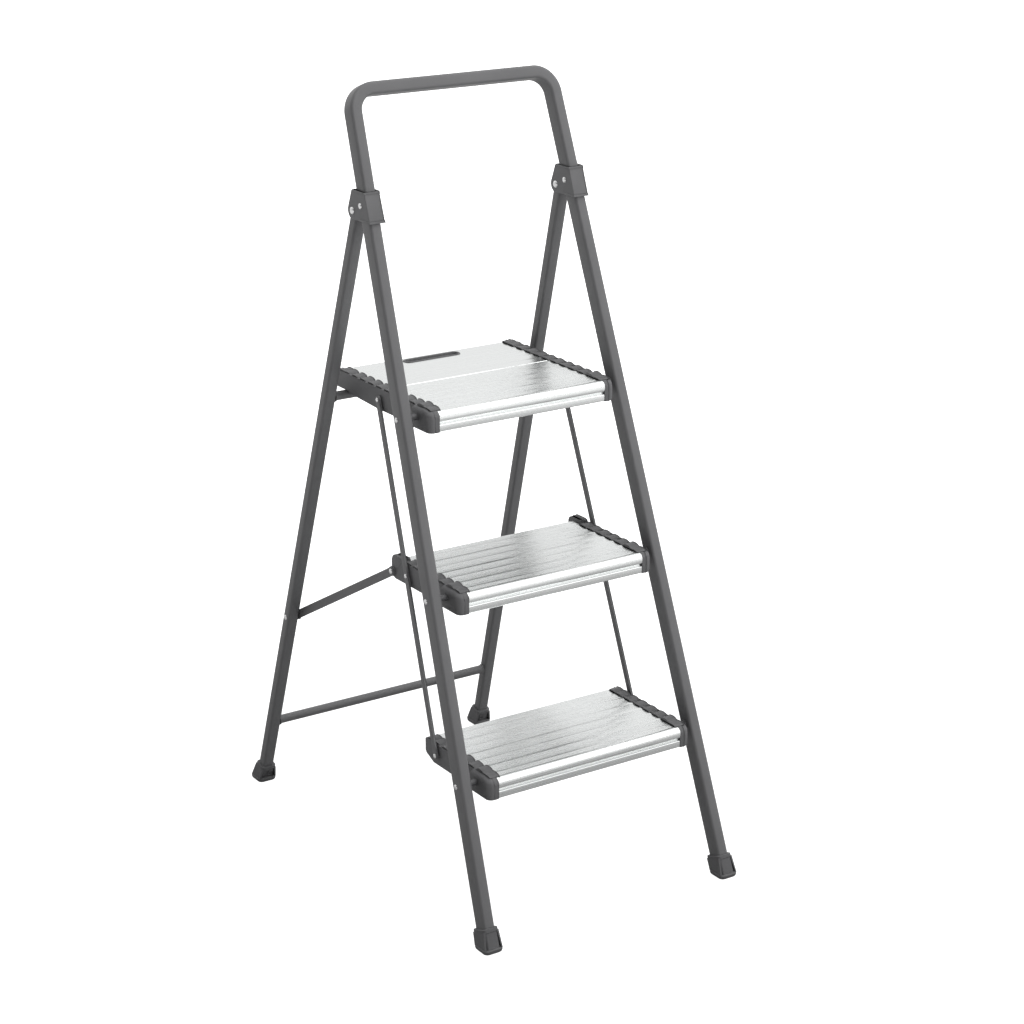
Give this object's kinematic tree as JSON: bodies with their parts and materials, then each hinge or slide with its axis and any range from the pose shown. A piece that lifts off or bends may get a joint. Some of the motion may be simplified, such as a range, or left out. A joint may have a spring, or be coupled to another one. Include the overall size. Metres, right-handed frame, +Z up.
{
  "type": "step stool",
  "caption": "Folding steel step stool with ribbed aluminium treads, dark end caps and a bent handrail, standing open.",
  "frame": {"origin": "on the floor, at the middle of the footprint of the open stool", "axes": "+X to the right of a person climbing, +Y the way they face, +Z up"},
  "size_m": [0.4318, 0.6844, 1.1142],
  "materials": {
    "frame_paint": "satin",
    "tread_aluminium": "satin",
    "cap_plastic": "matte",
    "bracket_plastic": "matte",
    "foot_rubber": "matte",
    "zinc": "satin"
  },
  "bodies": {
    "front": {"front_frame": "frame_paint", "hinge_bracket_left": "bracket_plastic", "hinge_bracket_right": "bracket_plastic", "hinge_rivet_left": "zinc", "hinge_rivet_right": "zinc", "bracket_fixing_rivet_left": "zinc", "bracket_fixing_rivet_right": "zinc", "front_foot_left": "foot_rubber", "front_foot_right": "foot_rubber", "platform_pivot_rivet_left": "zinc", "platform_pivot_rivet_right": "zinc", "platform_pivot_bush_left": "cap_plastic", "platform_pivot_bush_right": "cap_plastic", "middle_pivot_rivet_left": "zinc", "middle_pivot_rivet_right": "zinc", "middle_pivot_bush_left": "cap_plastic", "middle_pivot_bush_right": "cap_plastic", "lower_pivot_rivet_left": "zinc", "lower_pivot_rivet_right": "zinc", "lower_pivot_bush_left": "cap_plastic", "lower_pivot_bush_right": "cap_plastic"},
    "rear": {"rear_leg_left": "frame_paint", "rear_leg_right": "frame_paint", "rear_upper_crossbar": "frame_paint", "rear_lower_crossbar": "frame_paint", "rear_foot_left": "foot_rubber", "rear_foot_right": "foot_rubber", "brace_leg_rivet_left": "zinc", "brace_leg_rivet_right": "zinc"},
    "platform": {"platform_front_panel": "tread_aluminium", "platform_rear_panel": "tread_aluminium", "platform_grip_liner": "cap_plastic", "platform_end_cap_left": "cap_plastic", "platform_end_cap_right": "cap_plastic", "platform_link_rivet_left": "zinc", "platform_link_rivet_right": "zinc"},
    "middle_step": {"middle_tread": "tread_aluminium", "middle_end_cap_left": "cap_plastic", "middle_end_cap_right": "cap_plastic", "middle_link_rivet_left": "zinc", "middle_link_rivet_right": "zinc", "brace_front_rivet_left": "zinc", "brace_front_rivet_right": "zinc"},
    "lower_step": {"lower_tread": "tread_aluminium", "lower_end_cap_left": "cap_plastic", "lower_end_cap_right": "cap_plastic", "lower_link_rivet_left": "zinc", "lower_link_rivet_right": "zinc"},
    "link_left": {"link_bar_left": "frame_paint"},
    "link_right": {"link_bar_right": "frame_paint"},
    "strut_left": {"brace_left": "frame_paint"},
    "strut_right": {"brace_right": "frame_paint"}
  },
  "joints": [
    {"name": "rear_fold", "type": "hinge", "parent": "front", "child": "rear", "pos_m": [0, 0.04464, 0.9469], "axis": [-1, 0, 0], "range_deg": [0, 36]},
    {"name": "platform_fold", "type": "hinge", "parent": "front", "child": "platform", "pos_m": [0, -0.07648, 0.6821], "axis": [1, 0, 0], "range_deg": [0, 63]},
    {"name": "middle_fold", "type": "hinge", "parent": "front", "child": "middle_step", "pos_m": [0, -0.16117, 0.4488], "axis": [1, 0, 0], "range_deg": [0, 63]},
    {"name": "lower_fold", "type": "hinge", "parent": "front", "child": "lower_step", "pos_m": [0, -0.24766, 0.2105], "axis": [1, 0, 0], "range_deg": [0, 63]},
    {"name": "link_left_swing", "type": "hinge", "parent": "middle_step", "child": "link_left", "pos_m": [-0.1595, -0.05567, 0.4468], "axis": [-1, 0, 0], "range_deg": [0, 63]},
    {"name": "link_right_swing", "type": "hinge", "parent": "middle_step", "child": "link_right", "pos_m": [0.1595, -0.05567, 0.4468], "axis": [-1, 0, 0], "range_deg": [0, 63]},
    {"name": "brace_left_swing", "type": "hinge", "parent": "middle_step", "child": "strut_left", "pos_m": [-0.1583, -0.01117, 0.44005], "axis": [-1, 0, 0], "range_deg": [0, 142.68]},
    {"name": "brace_right_swing", "type": "hinge", "parent": "middle_step", "child": "strut_right", "pos_m": [0.1583, -0.01117, 0.44005], "axis": [-1, 0, 0], "range_deg": [0, 142.68]}
  ],
  "couplings": [
    {"joint": "platform_fold", "follows": "rear_fold", "ratio": 1.75},
    {"joint": "middle_fold", "follows": "rear_fold", "ratio": 1.75},
    {"joint": "lower_fold", "follows": "rear_fold", "ratio": 1.75},
    {"joint": "link_left_swing", "follows": "rear_fold", "ratio": 1.75},
    {"joint": "link_right_swing", "follows": "rear_fold", "ratio": 1.75},
    {"joint": "brace_left_swing", "follows": "rear_fold", "ratio": 3.9629},
    {"joint": "brace_right_swing", "follows": "rear_fold", "ratio": 3.9629}
  ]
}
